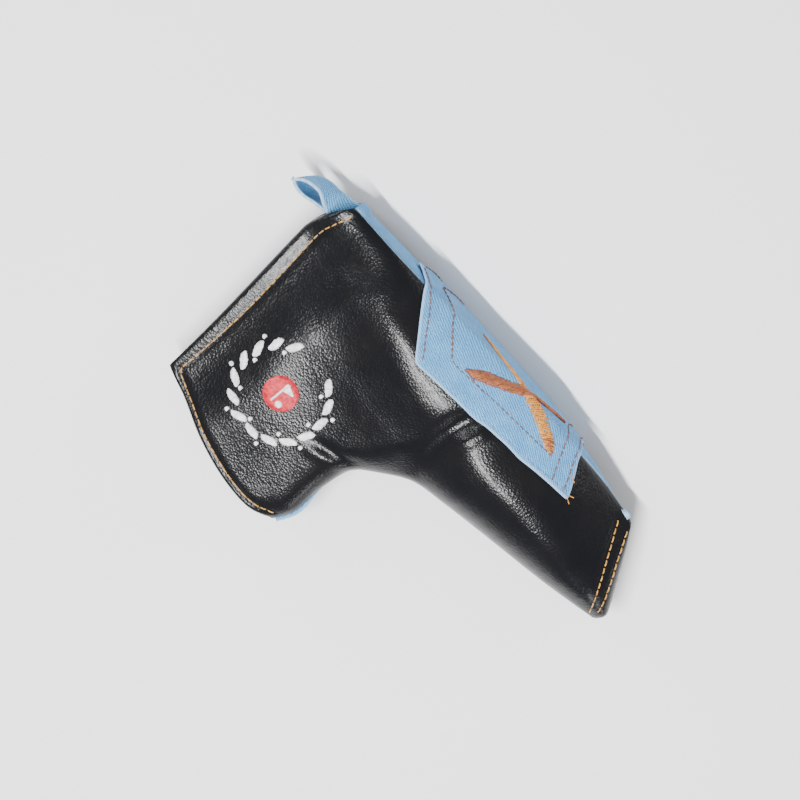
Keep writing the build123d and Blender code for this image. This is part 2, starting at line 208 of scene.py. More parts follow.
def near_detail(p, sole, closed, toe, heel, rim):
    """Creases, puckers and slack of the near leather."""
    back, up = p[:, 0], p[:, 1]
    inside = smooth(0, 6, np.minimum(np.minimum(sole, closed), np.minimum(toe, heel)))
    valley = 91.5 + 1.2 * np.sin(up / 6.0)
    low_fold = smooth(11, 17, up) * smooth(44, 26, up)
    z = -2.6 * bump(back, valley - 2.0, 4.5) * low_fold
    z += 1.3 * bump(back, valley + 4.5, 3.2) * smooth(11, 16, up) * smooth(34, 20, up)
    z += 0.5 * bump(back, valley - 14.0, 8.0) * smooth(8, 14, up) * smooth(40, 24, up)
    z += -0.7 * bump(back - 0.3 * (up - 40), valley - 3.0, 6.0) * smooth(26, 40, up) * smooth(60, 46, up)
    crease_up = 66.5 + (79.5 - back) * 0.33
    z += -1.0 * bump(up, crease_up - 2.6, 2.6) * smooth(80, 74, back) * smooth(52, 66, back)
    z += 0.7 * bump(up, crease_up + 1.6, 2.2) * smooth(80, 74, back) * smooth(52, 66, back)
    z += -0.7 * bump(line_distance(p, OPENING_STITCH), 0, 1.1)
    z += -0.5 * bump(np.minimum(line_distance(p, TOE_STITCH_OUT), line_distance(p, TOE_STITCH_IN)), 0, 1.1)
    pucker = np.sin(back * 1.1 + 1.5 * np.sin(back * 0.37)) * smooth(9, 1, closed) * smooth(84, 100, back)
    z += 0.22 * pucker
    z += 0.35 * soft_noise(p, 27, 3.1) + 0.12 * soft_noise(p, 9, 8.7)
    return z * inside


OPENING_STITCH = spline([(1.8, 2.2), (-1.4, 14.5), (-0.8, 25), (1.0, 41), (2.6, 59), (3.4, 82), (3.2, 95.2),
                         (5.0, 96.4), (18, 100.6), (30, 104.2), (41, 106.6), (52, 107.9), (62, 107.2),
                         (71, 103.8)])
TOE_STITCH_OUT = spline([(164.4, 0.8), (170.4, 10.4), (178, 22), (182.3, 30.5)])
TOE_STITCH_IN = spline([(158.6, 0.4), (168.5, 14.8), (176.8, 27.2), (180.6, 33.4)])


def row(back, up, z):
    """Row coordinates in metres from outline coordinates and a height above the floor."""
    back, up, z = np.broadcast_arrays(back, up, z)
    return np.stack([HEEL_X - back, SOLE_Y + up, z], -1) * M


def panel_points(points, side, depth=0.0, least=0.35):
    """Points of a side panel at a depth below its outer face, in metres."""
    p = np.asarray(points, float).reshape(-1, 2)
    z = np.maximum(height(p, side) - depth, least)
    return row(p[:, 0], p[:, 1], SEAM_Z + side * z)


def panel_normals(points, side, step=0.6):
    """Outward unit normals of a side panel's outer face."""
    p = np.asarray(points, float).reshape(-1, 2)
    dx = (height(p + (step, 0), side) - height(p - (step, 0), side)) / (2 * step)
    dy = (height(p + (0, step), side) - height(p - (0, step), side)) / (2 * step)
    n = np.stack([dx, -dy, np.full(len(p), 1.0)], 1)
    n[:, 2] *= side
    return n / np.linalg.norm(n, axis=1)[:, None]


def inside_outline(points, outline):
    """Whether each point is inside a closed outline."""
    p = np.asarray(points, float)
    a, b = outline, np.roll(outline, -1, 0)
    px, py = p[:, None, 0], p[:, None, 1]
    crosses = (a[None, :, 1] > py) != (b[None, :, 1] > py)
    slope = (b[:, 0] - a[:, 0]) / np.where(b[:, 1] == a[:, 1], 1e-9, b[:, 1] - a[:, 1])
    left = px < a[None, :, 0] + (py - a[None, :, 1]) * slope[None, :]
    return (crosses & left).sum(1) % 2 == 1


# ---------------------------------------------------------------- mesh helpers

def mesh_object(name, verts, faces, uvs=None, rim=None):
    """New object from points in metres.

    uvs holds one (u, v) per point and rim its distance from the cloth's edge, in millimetres.
    """
    mesh = bpy.data.meshes.new(name)
    mesh.from_pydata([tuple(v) for v in verts], [], [tuple(f) for f in faces])
    mesh.update()
    loops = np.empty(len(mesh.loops), int)
    mesh.loops.foreach_get("vertex_index", loops)
    if rim is not None:
        rim = np.stack([np.asarray(rim, float)] * 2, -1)
    for layer_name, values in (("weave", uvs), ("rim", rim)):
        if values is not None:
            layer = mesh.uv_layers.new(name=layer_name)
            layer.data.foreach_set("uv", np.asarray(values, float)[loops].astype(np.float32).ravel())
    mesh.shade_smooth()
    obj = bpy.data.objects.new(name, mesh)
    bpy.context.collection.objects.link(obj)
    return obj


def resample(line, step):
    """Even points along a polyline."""
    gaps = np.linalg.norm(np.diff(line, axis=0), axis=1)
    s = np.concatenate([[0], np.cumsum(gaps)])
    at = np.linspace(0, s[-1], max(2, int(round(s[-1] / step)) + 1))
    return np.stack([np.interp(at, s, line[:, k]) for k in range(line.shape[1])], 1)


def inward(line):
    """Unit normals to the left of a closed outline, which point inside it."""
    d = np.roll(line, -1, 0) - np.roll(line, 1, 0)
    d /= np.linalg.norm(d, axis=1)[:, None]
    return np.stack([-d[:, 1], d[:, 0]], 1)


RINGS = (0.12, 0.35, 0.7, 1.15, 1.75, 2.5, 3.4)


def fill(outline, step=1.5, rings=RINGS):
    """Triangles over an outline, finer near its edge. Returns points and faces."""
    edge = resample(np.vstack([outline, outline[:1]]), step)[:-1]
    closed = np.vstack([edge, edge[:1]])
    points = [edge]
    normal = inward(edge)
    for ring in rings:
        ring_points = edge + normal * ring
        far_enough = line_distance(ring_points, closed) > ring * 0.93
        points.append(ring_points[far_enough & inside_outline(ring_points, edge)])
    low, high = edge.min(0), edge.max(0)
    xs = np.arange(low[0], high[0], step)
    ys = np.arange(low[1], high[1], step * 0.866)
    grid = np.array([(x + (step / 2 if k % 2 else 0), y) for k, y in enumerate(ys) for x in xs])
    grid = grid[inside_outline(grid, edge)]
    grid = grid[line_distance(grid, closed) > rings[-1] + step * 0.6]
    points.append(grid)
    everything = np.vstack(points)
    edges = [(k, (k + 1) % len(edge)) for k in range(len(edge))]
    made = delaunay_2d_cdt([Vector(p) for p in everything], edges, [], 1, 1e-5)
    return np.array([tuple(v) for v in made[0]]), [tuple(f) for f in made[2]]


def solidify(obj, thickness):
    """Give a sheet its thickness."""
    bpy.context.view_layer.objects.active = obj
    mod = obj.modifiers.new("thickness", "SOLIDIFY")
    mod.thickness = thickness * M
    mod.offset = -1.0
    mod.use_even_offset = False
    apply_modifiers(obj)
    return obj


def apply_modifiers(obj):
    """Turn an object's modifiers into its mesh."""
    graph = bpy.context.evaluated_depsgraph_get()
    mesh = bpy.data.meshes.new_from_object(obj.evaluated_get(graph))
    obj.modifiers.clear()
    obj.data = mesh


def shrink(outline, closed_by, rim_by, heel_by):
    """The outline drawn in by a distance at the seams, another at the rim and another at the heel edge."""
    by = np.where(line_distance(outline, RIM) < 0.05, rim_by, closed_by)
    by = np.where(line_distance(outline, HEEL) < 0.05, heel_by, by)
    for _ in range(6):
        by = (np.roll(by, 1) + by * 2 + np.roll(by, -1)) / 4
    inner = outline + inward(outline) * by[:, None]
    keep = line_distance(inner, np.vstack([outline, outline[:1]])) > by * 0.9
    return inner[keep]


def panel(name, side, depth=0.0, inset=(0.0, 0.0, 0.0), thickness=LEATHER, step=1.5):
    """One sheet of a side panel, at a depth inside the outer face."""
    outline = resample(np.vstack([OUTLINE, OUTLINE[:1]]), 1.2)[:-1]
    if max(inset) > 0:
        outline = shrink(outline, *inset)
    flat, faces = fill(outline, step)
    verts = panel_points(flat, side, depth, 0.35 if depth == 0 else 0.5)
    if side > 0:
        faces = [f[::-1] for f in faces]
    obj = mesh_object(name, verts, faces, flat)
    return solidify(obj, thickness)


# ---------------------------------------------------------------- materials

def material(name, base, rough, **sockets):
    """Principled material and its node tree. Extra keywords set sockets by name."""
    mat = bpy.data.materials.new(name)
    mat.use_nodes = True
    tree = mat.node_tree
    shader = tree.nodes["Principled BSDF"]
    shader.inputs["Base Color"].default_value = (*base, 1)
    shader.inputs["Roughness"].default_value = rough
    for key, value in sockets.items():
        shader.inputs[key.replace("_", " ")].default_value = value
    return mat, tree, shader


def node(tree, kind, **settings):
    """New node. Settings named after an input set it, others set the node."""
    made = tree.nodes.new(kind)
    for key, value in settings.items():
        if hasattr(made, key):
            setattr(made, key, value)
        else:
            made.inputs[key.replace("_", " ")].default_value = value
    return made


def link(tree, out, into):
    tree.links.new(out, into)


def ramp(tree, source, stops):
    """Colour ramp after a factor; stops are (position, colour)."""
    made = tree.nodes.new("ShaderNodeValToRGB")
    while len(made.color_ramp.elements) < len(stops):
        made.color_ramp.elements.new(0.5)
    for element, (position, colour) in zip(made.color_ramp.elements, stops):
        element.position = position
        element.color = (*colour, 1) if len(colour) == 3 else colour
    link(tree, source, made.inputs["Fac"])
    return made.outputs["Color"]


def add_bump(tree, shader, source, strength, distance, before=None):
    """Bump from a height, in millimetres."""
    made = tree.nodes.new("ShaderNodeBump")
    made.inputs["Strength"].default_value = strength
    made.inputs["Distance"].default_value = distance * M
    link(tree, source, made.inputs["Height"])
    if before is not None:
        link(tree, before, made.inputs["Normal"])
    link(tree, made.outputs["Normal"], shader.inputs["Normal"])
    return made.outputs["Normal"]


def place(tree):
    """Object coordinates in metres."""
    return tree.nodes.new("ShaderNodeTexCoord").outputs["Object"]


def math_node(tree, operation, a, b=None, clamp=False):
    """Math node; a and b are sockets or numbers."""
    made = tree.nodes.new("ShaderNodeMath")
    made.operation = operation
    made.use_clamp = clamp
    for k, value in enumerate((a, b)):
        if value is None:
            continue
        if isinstance(value, (int, float)):
            made.inputs[k].default_value = value
        else:
            link(tree, value, made.inputs[k])
    return made.outputs[0]


def mix(tree, factor, a, b, blend="MIX"):
    """Mix of two colours; each is a socket or a colour."""
    made = tree.nodes.new("ShaderNodeMix")
    made.data_type = "RGBA"
    made.blend_type = blend
    for socket, value in ((made.inputs[0], factor), (made.inputs[6], a), (made.inputs[7], b)):
        if isinstance(value, (int, float)):
            socket.default_value = value
        elif isinstance(value, tuple):
            socket.default_value = (*value, 1)
        else:
            link(tree, value, socket)
    return made.outputs[2]


def leather_material():
    """Smooth-grained glossy black leather: fine pebble grain, faint creasing, uneven gloss."""
    mat, tree, shader = material("leather", (0.004, 0.004, 0.005), 0.3, Specular_IOR_Level=0.2,
                                 Coat_Weight=0.1, Coat_Roughness=0.2)
    at = place(tree)
    grain = node(tree, "ShaderNodeTexVoronoi", feature="F1", Scale=1150.0)
    link(tree, at, grain.inputs["Vector"])
    pores = node(tree, "ShaderNodeTexNoise", Scale=2600.0, Detail=3.0)
    link(tree, at, pores.inputs["Vector"])
    slack = node(tree, "ShaderNodeTexNoise", Scale=160.0, Detail=4.0, Roughness=0.55)
    link(tree, at, slack.inputs["Vector"])
    cloud = node(tree, "ShaderNodeTexNoise", Scale=45.0, Detail=3.0)
    link(tree, at, cloud.inputs["Vector"])
    tone = ramp(tree, cloud.outputs["Fac"], [(0.3, (0.0018, 0.002, 0.003)), (0.7, (0.004, 0.0038, 0.0042))])
    link(tree, tone, shader.inputs["Base Color"])
    gloss = ramp(tree, slack.outputs["Fac"], [(0.3, (0.21, 0.21, 0.21)), (0.7, (0.29, 0.29, 0.29))])
    link(tree, gloss, shader.inputs["Roughness"])
    soft = add_bump(tree, shader, slack.outputs["Fac"], 0.15, 0.2)
    fine = add_bump(tree, shader, grain.outputs["Distance"], 0.8, 0.13, soft)
    add_bump(tree, shader, pores.outputs["Fac"], 0.45, 0.05, fine)
    return mat


def denim_material(name, light=(0.115, 0.36, 0.64), dark=(0.025, 0.11, 0.27), scale=1.0, wear=0.5):
    """Washed twill: pale weft flecks between blue warp floats that step up a diagonal."""
    mat, tree, shader = material(name, light, 0.82, Specular_IOR_Level=0.2,
                                 Sheen_Weight=0.1, Sheen_Roughness=0.5)
    uv = tree.nodes.new("ShaderNodeUVMap")
    uv.uv_map = "weave"
    split = tree.nodes.new("ShaderNodeSeparateXYZ")
    link(tree, uv.outputs["UV"], split.inputs[0])
    u, v = split.outputs["X"], split.outputs["Y"]
    wobble = node(tree, "ShaderNodeTexNoise", Scale=0.9, Detail=3.0)
    link(tree, uv.outputs["UV"], wobble.inputs["Vector"])
    shift = math_node(tree, "MULTIPLY", wobble.outputs["Fac"], 0.9)
    pitch = 2 * math.pi / (0.62 * scale)
    warp = math_node(tree, "SINE", math_node(tree, "MULTIPLY", math_node(tree, "ADD", u, shift), pitch))
    diagonal = math_node(tree, "ADD", math_node(tree, "MULTIPLY", u, -0.32), math_node(tree, "ADD", v, shift))
    twill = math_node(tree, "SINE", math_node(tree, "MULTIPLY", diagonal, 2 * math.pi / (0.85 * scale)))
    weft = math_node(tree, "SINE", math_node(tree, "MULTIPLY", v, 2 * math.pi / (0.5 * scale)))
    twill = math_node(tree, "MULTIPLY", twill, 0.6)
    both = math_node(tree, "ADD", twill, math_node(tree, "MULTIPLY", warp, 0.3))
    both = math_node(tree, "ADD", both, math_node(tree, "MULTIPLY", weft, 0.18))
    level = math_node(tree, "ADD", math_node(tree, "MULTIPLY", both, 0.42), 0.5, True)
    fleck = node(tree, "ShaderNodeTexNoise", Scale=2.6, Detail=5.0, Roughness=0.7)
    link(tree, uv.outputs["UV"], fleck.inputs["Vector"])
    patchy = node(tree, "ShaderNodeTexNoise", Scale=0.16, Detail=3.0)
    link(tree, uv.outputs["UV"], patchy.inputs["Vector"])
    pale = tuple(min(1, c * 1.2 + 0.06) for c in light)
    weave = ramp(tree, level, [(0.12, dark), (0.55, light), (0.95, pale)])
    speck = ramp(tree, fleck.outputs["Fac"], [(0.36, (0.55, 0.6, 0.68)), (0.62, (1.12, 1.1, 1.06))])
    tone = ramp(tree, patchy.outputs["Fac"], [(0.3, (0.82, 0.86, 0.9)), (0.7, (1.08, 1.06, 1.04))])
    colour = mix(tree, 1.0, mix(tree, 1.0, weave, speck, "MULTIPLY"), tone, "MULTIPLY")
    rim = tree.nodes.new("ShaderNodeUVMap")
    rim.uv_map = "rim"
    edge = tree.nodes.new("ShaderNodeSeparateXYZ")
    link(tree, rim.outputs["UV"], edge.inputs[0])
    frayed = math_node(tree, "ADD", edge.outputs["X"], math_node(tree, "MULTIPLY", fleck.outputs["Fac"], 0.9))
    worn = math_node(tree, "SUBTRACT", 1.0, math_node(tree, "MULTIPLY", frayed, 0.62), True)
    worn = math_node(tree, "MULTIPLY", worn, wear)
    colour = mix(tree, worn, colour, (0.72, 0.84, 0.92))
    link(tree, colour, shader.inputs["Base Color"])
    deep = add_bump(tree, shader, level, 0.9, 0.22)
    add_bump(tree, shader, fleck.outputs["Fac"], 0.5, 0.12, deep)
    return mat


def thread_material(name, base, rough=0.42, sheen=0.3):
    """Thread with its twist and slight variation of tone."""
    mat, tree, shader = material(name, base, rough, Specular_IOR_Level=0.5,
                                 Sheen_Weight=sheen, Sheen_Roughness=0.4)
    at = place(tree)
    vary = node(tree, "ShaderNodeTexNoise", Scale=700.0, Detail=2.0)
    link(tree, at, vary.inputs["Vector"])
    tone = ramp(tree, vary.outputs["Fac"], [(0.3, tuple(c * 0.62 for c in base)),
                                            (0.72, tuple(min(1, c * 1.3 + 0.02) for c in base))])
    link(tree, tone, shader.inputs["Base Color"])
    twist = node(tree, "ShaderNodeTexWave", wave_type="BANDS", bands_direction="DIAGONAL",
                 Scale=900.0, Distortion=1.5)
    link(tree, at, twist.inputs["Vector"])
    add_bump(tree, shader, twist.outputs["Fac"], 0.5, 0.06)
    return mat


def plush_material(name, base, scale=900.0, depth=0.5, sheen=0.6):
    """Short pile or brushed loops."""
    mat, tree, shader = material(name, base, 0.95, Specular_IOR_Level=0.15,
                                 Sheen_Weight=sheen, Sheen_Roughness=0.35)
    at = place(tree)
    pile = node(tree, "ShaderNodeTexNoise", Scale=scale, Detail=6.0, Roughness=0.75)
    link(tree, at, pile.inputs["Vector"])
    tuft = node(tree, "ShaderNodeTexVoronoi", feature="F1", Scale=scale * 0.6)
    link(tree, at, tuft.inputs["Vector"])
    tone = ramp(tree, pile.outputs["Fac"], [(0.3, tuple(c * 0.55 for c in base)),
                                            (0.7, tuple(min(1, c * 1.5 + 0.01) for c in base))])
    link(tree, tone, shader.inputs["Base Color"])
    first = add_bump(tree, shader, tuft.outputs["Distance"], 0.7, depth)
    add_bump(tree, shader, pile.outputs["Fac"], 0.8, depth * 0.6, first)
    return mat


LEATHER_MAT = leather_material()
DENIM_MAT = denim_material("denim")
RIBBON_MAT = denim_material("denim_ribbon", light=(0.11, 0.35, 0.60), dark=(0.025, 0.10, 0.24), scale=1.2)
GOLD = thread_material("gold_thread", (0.46, 0.235, 0.04), 0.38, 0.0)
RUST = thread_material("denim_thread", (0.15, 0.05, 0.02), 0.5, 0.0)
TONAL = thread_material("tonal_thread", (0.14, 0.30, 0.48), 0.5, 0.0)
BROWN = thread_material("brown_thread", (0.24, 0.058, 0.007), 0.4, 0.0)
AMBER = thread_material("amber_thread", (0.58, 0.23, 0.02), 0.4, 0.0)
RED = thread_material("red_thread", (0.52, 0.004, 0.02), 0.4, 0.1)
WHITE = thread_material("white_thread", (0.86, 0.86, 0.85), 0.42)
LINING_MAT = plush_material("lining", (0.045, 0.045, 0.05), 700.0, 0.6)
FOAM_MAT = plush_material("foam", (0.05, 0.05, 0.055), 1500.0, 0.2, 0.1)
HOOK_MAT = plush_material("hook_tape", (0.02, 0.02, 0.022), 1400.0, 0.5, 0.1)
LOOP_MAT = plush_material("loop_tape", (0.03, 0.03, 0.033), 1100.0, 0.5, 0.5)


def dress(obj, mat):
    """Give a piece its material."""
    obj.data.materials.clear()
    obj.data.materials.append(mat)
    return obj


FOLD_DIR = (FOLD_RIM - FOLD_SOLE) / np.linalg.norm(FOLD_RIM - FOLD_SOLE)
FOLD_MID = (FOLD_RIM + FOLD_SOLE) / 2
BEND_WIDTH = 26.0


def bend(obj):
    """Bake the piece's placement into its mesh. The fold's place and the flap's direction are worked out but
    not used, so nothing turns with the closure flap.
    """
    to_flap = np.array((-FOLD_DIR[1], FOLD_DIR[0]))
    start = row(*FOLD_MID, SEAM_Z)
    end = row(*(FOLD_MID + to_flap * BEND_WIDTH), SEAM_Z)
    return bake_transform(obj)


# ---------------------------------------------------------------- surfaces

def on_panel(side, lift=0.0):
    """Function from (back, up) points to places and normals on a side panel."""
    def find(points):
        normals = panel_normals(points, side)
        return panel_points(points, side) + normals * lift * M, normals
    return find


def sole_up(back):
    """Height of the sole line."""
    return np.interp(back, SOLE[:, 0], SOLE[:, 1])


def seam_half(back, side):
    """Height of a side panel where it meets the sole strip."""
    return height(np.stack([back, sole_up(back) + 0.05], -1), side)


SOLE_CROWN = 1.1
HEM_END = 5.0
HEM_LIFT = 1.4


def wrap(points):
    """Skin round the sole, from (back, across), with across 0 on the middle of the sole strip."""
    back, across = points[:, 0], points[:, 1]
    half = np.where(across >= 0, seam_half(back, 1), seam_half(back, -1))
    beyond = np.abs(across) - half
    t = np.clip(np.abs(across) / half, 0, 1)
    low = sole_up(back)
    crown = SOLE_CROWN * smooth(0, 6, half) + HEM_LIFT * smooth(HEM_END, HEM_END - 1.2, back)
    up = np.where(beyond > 0, low + beyond, low - crown * (1 - t ** 2.4))
    near = height(np.stack([back, up], -1), 1)
    far = height(np.stack([back, up], -1), -1)
    z = np.where(beyond > 0, np.where(across >= 0, near, far), t * half)
    return row(back, up, SEAM_Z + np.sign(across) * z)


def on_wrap(lift=0.0):
    """Function from (back, across) points to places and normals on the skin round the sole."""
    def find(points):
        points = np.asarray(points, float)
        along = wrap(points - (0.8, 0)) - wrap(points + (0.8, 0))
        over = wrap(points + (0, 1.1)) - wrap(points - (0, 1.1))
        normals = np.cross(along, over)
        normals /= np.linalg.norm(normals, axis=1)[:, None]
        rise = lift(points) if callable(lift) else np.full(len(points), lift)
        return wrap(points) + normals * (rise * M)[:, None], normals
    return find


def ordered(faces, verts, normals):
    """Faces turned so that they look along the normals."""
    out = []
    for face in faces:
        a, b, c = (verts[k] for k in face[:3])
        facing = np.cross(b - a, c - a) @ normals[face[0]]
        out.append(tuple(face) if facing > 0 else tuple(face)[::-1])
    return out


def skin(name, outline, find, step, thickness, rings=RINGS):
    """Sheet cut to an outline and laid on a surface."""
    flat, faces = fill(outline, step, rings)
    verts, normals = find(flat)
    rim = line_distance(flat, np.vstack([outline, outline[:1]]))
    obj = mesh_object(name, verts, ordered(faces, verts, normals), flat, rim)
    return solidify(obj, thickness)


def grid(name, verts, uvs, rim, thickness):
    """Sheet from rows of points (rows, columns, 3)."""
    rows, columns = verts.shape[:2]
    faces = [
        (i * columns + j, i * columns + j + 1, (i + 1) * columns + j + 1, (i + 1) * columns + j)
        for i in range(rows - 1)
        for j in range(columns - 1)
    ]
    obj = mesh_object(name, verts.reshape(-1, 3), faces, uvs.reshape(-1, 2), rim.ravel())
    return solidify(obj, thickness)


def tube(points, normals, radius, sides=6):
    """Rings round a path. Returns points and faces, closed at both ends."""
    points = np.asarray(points, float)
    along = np.gradient(points, axis=0)
    along /= np.maximum(np.linalg.norm(along, axis=1)[:, None], 1e-12)
    across = np.cross(along, normals)
    across /= np.maximum(np.linalg.norm(across, axis=1)[:, None], 1e-12)
    out = np.cross(across, along)
    angles = np.arange(sides) * 2 * math.pi / sides
    radius = np.broadcast_to(radius, len(points))[:, None, None] * M
    ring = np.cos(angles)[None, :, None] * across[:, None] + np.sin(angles)[None, :, None] * out[:, None]
    verts = (points[:, None] + ring * radius).reshape(-1, 3)
    faces = [
        (i * sides + j, i * sides + (j + 1) % sides, (i + 1) * sides + (j + 1) % sides, (i + 1) * sides + j)
        for i in range(len(points) - 1)
        for j in range(sides)
    ]
    last = (len(points) - 1) * sides
    faces.append(tuple(range(sides))[::-1])
    faces.append(tuple(range(last, last + sides)))
    return verts, faces


def join(parts):
    """One set of points and faces from several."""
    verts, faces, count = [], [], 0
    for v, f in parts:
        verts.append(v)
        faces += [tuple(k + count for k in face) for face in f]
        count += len(v)
    return np.vstack(verts), faces


PITCH = 3.1
STITCH_LENGTH = 2.5
STITCH_SINK = 0.35


def stitch_row(line, find, pitch=PITCH, length=STITCH_LENGTH, radius=0.3, jitter=0.12):
    """Separate stitches along a line on a surface, each dipping in at both ends."""
    even = resample(np.asarray(line, float), pitch)
    parts = []
    for a, b in zip(even, even[1:]):
        d = (b - a) / pitch
        side = np.array((-d[1], d[0]))
        start = a + side * RNG.normal(0, jitter * 0.5)
        end = a + d * length + side * RNG.normal(0, jitter * 0.5)
        t = np.array((0, 0.12, 0.3, 0.5, 0.7, 0.88, 1.0))
        places, normals = find(start + (end - start) * t[:, None])
        rise = np.array((-STITCH_SINK, 0.35 * radius, 0.8 * radius, 0.9 * radius,
                         0.8 * radius, 0.35 * radius, -STITCH_SINK))
        girth = radius * np.array((0.7, 0.95, 1, 1, 1, 0.95, 0.7))
        parts.append(tube(places + normals * rise[:, None] * M, normals, girth))
    return parts


def satin(start, end, half_width, find, slant=0.35, spacing=0.36, radius=0.25, loft=0.35, ragged=0.1,
          cross=False):
    """Threads laid side by side across a line, edge to edge."""
    start, end = np.asarray(start, float), np.asarray(end, float)
    length = np.linalg.norm(end - start)
    d = (end - start) / length
    side = np.array((-d[1], d[0]))
    parts = []
    for k in range(int(length / spacing)):
        t = (k + 0.5) * spacing / length
        half = half_width(t)
        if half < 0.15:
            continue
        lean = slant * (1 if not cross or k % 2 else -1) * half
        left = start + d * (length * t - lean) + side * half * (1 + RNG.normal(0, ragged))
        right = start + d * (length * t + lean) - side * half * (1 + RNG.normal(0, ragged))
        s = np.linspace(0, 1, 7)
        places, normals = find(left + (right - left) * s[:, None])
        arch = loft * np.sqrt(np.maximum(1 - (2 * s - 1) ** 2, 0)) - 0.15
        if cross:
            arch = arch + 0.12 * (k % 2)
        parts.append(tube(places + normals * arch[:, None] * M, normals, radius, 5))
    return parts


def thread_piece(name, parts, mat):
    verts, faces = join(parts)
    return dress(mesh_object(name, verts, faces), mat)


def declare(outline):
    outline = np.asarray(outline, float)


# ---------------------------------------------------------------- side panels and layers

near_leather = dress(panel("near_leather", 1), LEATHER_MAT)
bend(near_leather)
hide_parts("near_panel", "near_flap_panel")

far_leather = dress(panel("far_leather", -1), LEATHER_MAT)
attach(far_leather, "root")
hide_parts("far_panel")

FOAM_DEPTH = LEATHER + LAYER_GAP
LINING_DEPTH = FOAM_DEPTH + FOAM + LAYER_GAP
for side, word, leather in ((1, "near", near_leather), (-1, "far", far_leather)):
    foam = panel(f"{word}_padding", side, FOAM_DEPTH, FOAM_INSET, FOAM, 2.4)
    lining = panel(f"{word}_plush", side, LINING_DEPTH, LINING_INSET, LINING, 2.2)
    dress(foam, FOAM_MAT)
    dress(lining, LINING_MAT)
    if side > 0:
        bend(foam)
        bend(lining)
        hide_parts("near_foam", "near_flap_foam")
        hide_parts("near_lining", "near_flap_lining")
    else:
        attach(foam, "root")
        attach(lining, "root")
        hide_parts("far_foam")
        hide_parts("far_lining")
    declare(OUTLINE)


def facing(name, side):
    """Leather turned in at the rim and the heel opening."""
    path = resample(np.vstack([RIM[:-1], HEEL]), 1.6)
    d = np.gradient(path, axis=0)
    d /= np.linalg.norm(d, axis=1)[:, None]
    normal = np.stack([-d[:, 1], d[:, 0]], 1)
    for _ in range(12):
        normal[1:-1] = (normal[:-2] + 2 * normal[1:-1] + normal[2:]) / 4
    normal /= np.linalg.norm(normal, axis=1)[:, None]
    depths = np.array((0.1, 0.4, 0.9, 1.5, 2.2, 3.5, 5.0, 6.5, FACING))
    base = height(path + normal * ROLL, side)
    run = np.where((base > 4.6) & (path[:, 1] > 12))[0]
    run = np.arange(run[0], run[-1] + 1)
    verts, uvs = [], []
    for depth in depths:
        at = path[run] + normal[run] * max(depth, ROLL)
        z = np.maximum(height(at, side) - ROLL - rolled(min(depth, ROLL)), 0.5)
        spot = path[run] + normal[run] * depth
        verts.append(row(spot[:, 0], spot[:, 1], SEAM_Z + side * z))
        uvs.append(np.stack([run * 1.6, np.full(len(run), depth)], 1))
    verts, uvs = np.array(verts), np.array(uvs)
    if side > 0:
        verts, uvs = verts[::-1], uvs[::-1]
    obj = grid(name, verts, uvs, uvs[..., 1], -0.8)
    dress(obj, LEATHER_MAT)
    length = len(run) * 1.6
    declare([(0, 0), (length, 0), (length, FACING + 3), (0, FACING + 3)])
    return obj


bend(facing("near_facing", 1))
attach(facing("far_facing", -1), "root")

# ---------------------------------------------------------------- sole strip and its layers

STRIP_END = 161.0


def sole_strip(name, reach, depth, thickness, start, end, step=1.3):
    """Strip along the sole, a share of the gusset wide, at a depth inside it."""
    back = np.linspace(start, end, int((end - start) / step))
    t = np.array((-1, -0.97, -0.9, -0.75, -0.5, -0.25, 0, 0.25, 0.5, 0.75, 0.9, 0.97, 1)) * reach
    near, far = seam_half(back, 1), seam_half(back, -1)
    low = sole_up(back)
    crown = SOLE_CROWN * smooth(0, 6, near) + HEM_LIFT * smooth(HEM_END, HEM_END - 1.2, back) * (depth == 0)
    verts = []
    for share in t:
        half = (near if share > 0 else far) - 0.35
        tuck = 0.7 * smooth(0.93, 1, abs(share) / reach)
        up = low - crown * (1 - abs(share) ** 2.4) + tuck + depth
        verts.append(row(back, up, SEAM_Z + share * half))
    verts = np.array(verts)
    uvs = np.stack([np.broadcast_to(back, verts.shape[:2]), t[:, None] * near[None]], -1)
    rim = (1 - abs(t[:, None]) / reach) * near[None] + 0 * back
    return grid(name, verts[::-1], uvs[::-1], rim[::-1], thickness)


gusset = dress(sole_strip("sole_strip", 1.0, 0.0, DENIM, 0.2, STRIP_END), DENIM_MAT)
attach(gusset, "root")
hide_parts("sole_gusset")
sole_pad = dress(sole_strip("sole_padding", 0.86, 1.5, FOAM, 4, 140, 2.5), FOAM_MAT)
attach(sole_pad, "root")
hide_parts("sole_foam")
sole_plush = dress(sole_strip("sole_plush", 0.7, 4.6, LINING, 6, 130, 2.5), LINING_MAT)
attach(sole_plush, "root")
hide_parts("sole_lining")
taper = [(0.2, -8), (26, -11), (104, -11), (STRIP_END, -0.7), (STRIP_END, 0.7), (104, 11), (26, 11), (0.2, 8)]
declare(taper)

# ---------------------------------------------------------------- pocket patch

# Patch outlines are (back, across): across is 0 on the middle of the sole, and the same on both wings
HEEL_LINE = [(31.5, 0), (36, 6.8), (40, 12.2), (59.5, 32.6)]
LOWER_LINE = [(59.5, 32.6), (90.5, 30.4), (113, 27.6), (138, 18.0)]
TOE_LINE = [(138, 18.0), (136.4, 15.8), (133.2, 12.2), (128.6, 8), (126.4, 0)]


def round_corners(points, radius=1.5, step=1.2):
    """Closed outline with small rounded corners, evenly sampled."""
    p = np.array(points, float)
    out = []
    for a, b, c in zip(np.roll(p, 1, 0), p, np.roll(p, -1, 0)):
        before, after = a - b, c - b
        before = b + before / np.linalg.norm(before) * min(radius, np.linalg.norm(before) / 3)
        after = b + after / np.linalg.norm(after) * min(radius, np.linalg.norm(after) / 3)
        out += [before, 0.25 * before + 0.5 * b + 0.25 * after, after]
    out = np.array(out)
    return resample(np.vstack([out, out[:1]]), step)[:-1]


